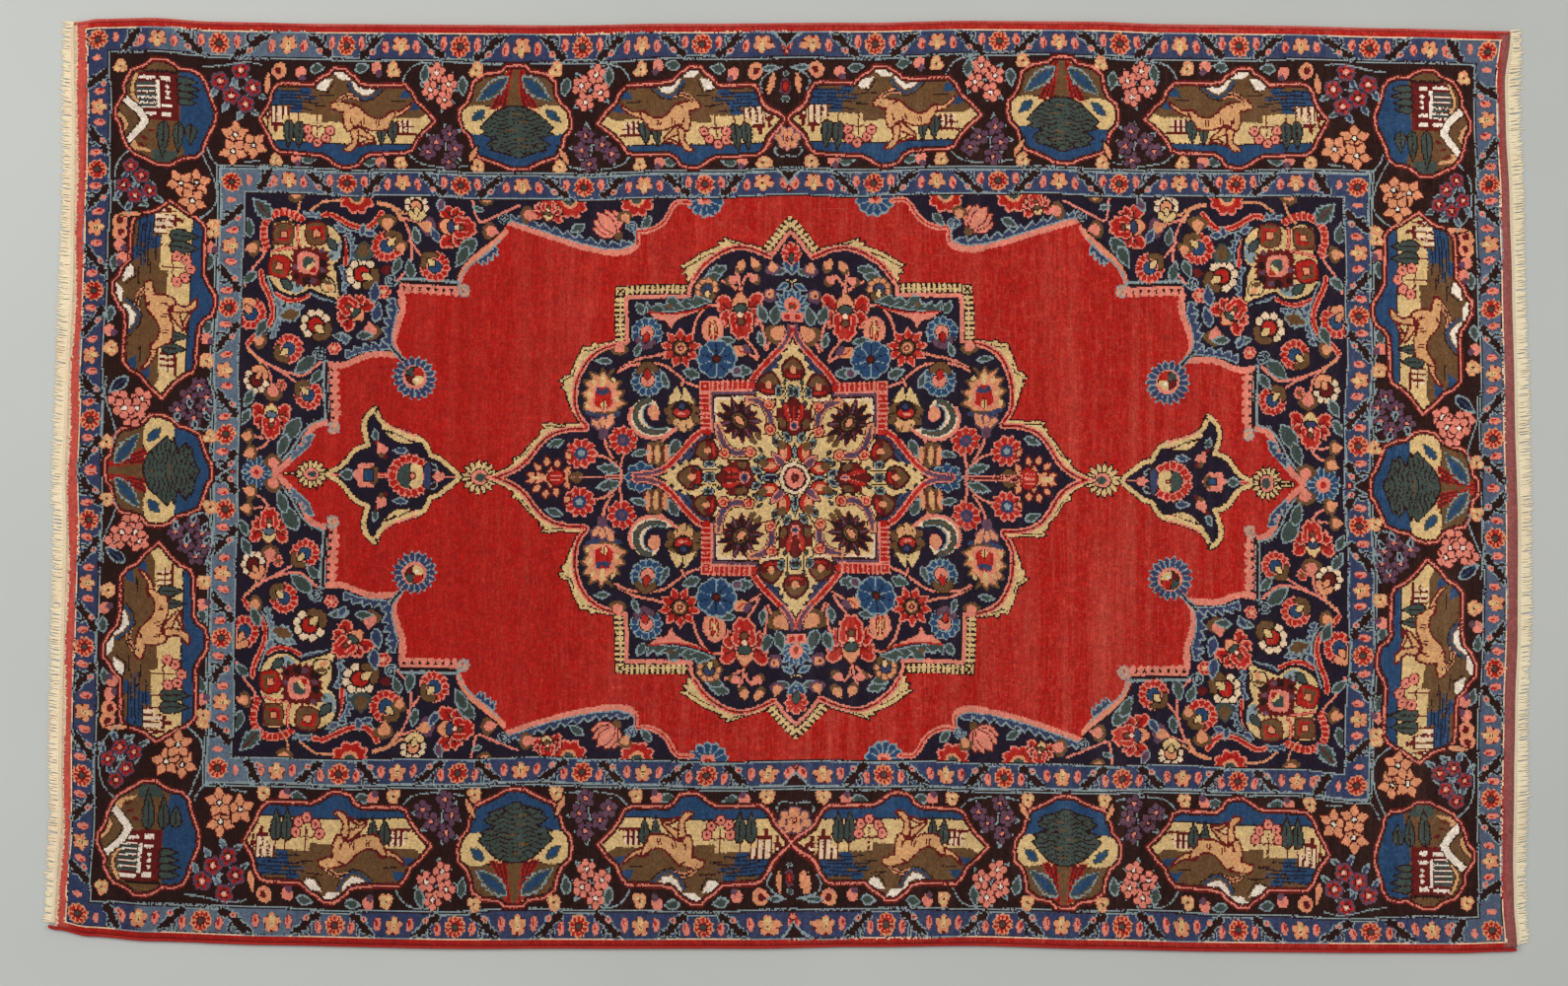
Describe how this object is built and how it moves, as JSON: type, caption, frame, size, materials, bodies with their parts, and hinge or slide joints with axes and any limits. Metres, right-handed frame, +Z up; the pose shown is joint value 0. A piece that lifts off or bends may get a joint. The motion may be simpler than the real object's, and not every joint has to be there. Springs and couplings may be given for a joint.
{
  "type": "oriental rug",
  "caption": "Hand-knotted wool floor rug with a red field, a lobed centre medallion, a pictorial border, overcast long edges and a short fringe at each end.",
  "frame": {"origin": "centre of the underside, on the floor", "axes": "+X along the rug's length, the way its warps run, +Y across it, +Z up out of the pile"},
  "size_m": [2.1316, 1.342, 0.0087],
  "materials": {
    "wool_pile": "short cut wool pile, matte",
    "wool_overcasting": "wrapped wool yarn, matte",
    "cotton_fringe": "undyed twisted cotton, matte"
  },
  "bodies": {
    "root": {"knotted_sheet": "wool_pile", "overcast_cord_upper": "wool_overcasting", "overcast_cord_lower": "wool_overcasting", "fringe_left": "cotton_fringe", "fringe_right": "cotton_fringe"}
  },
  "joints": []
}
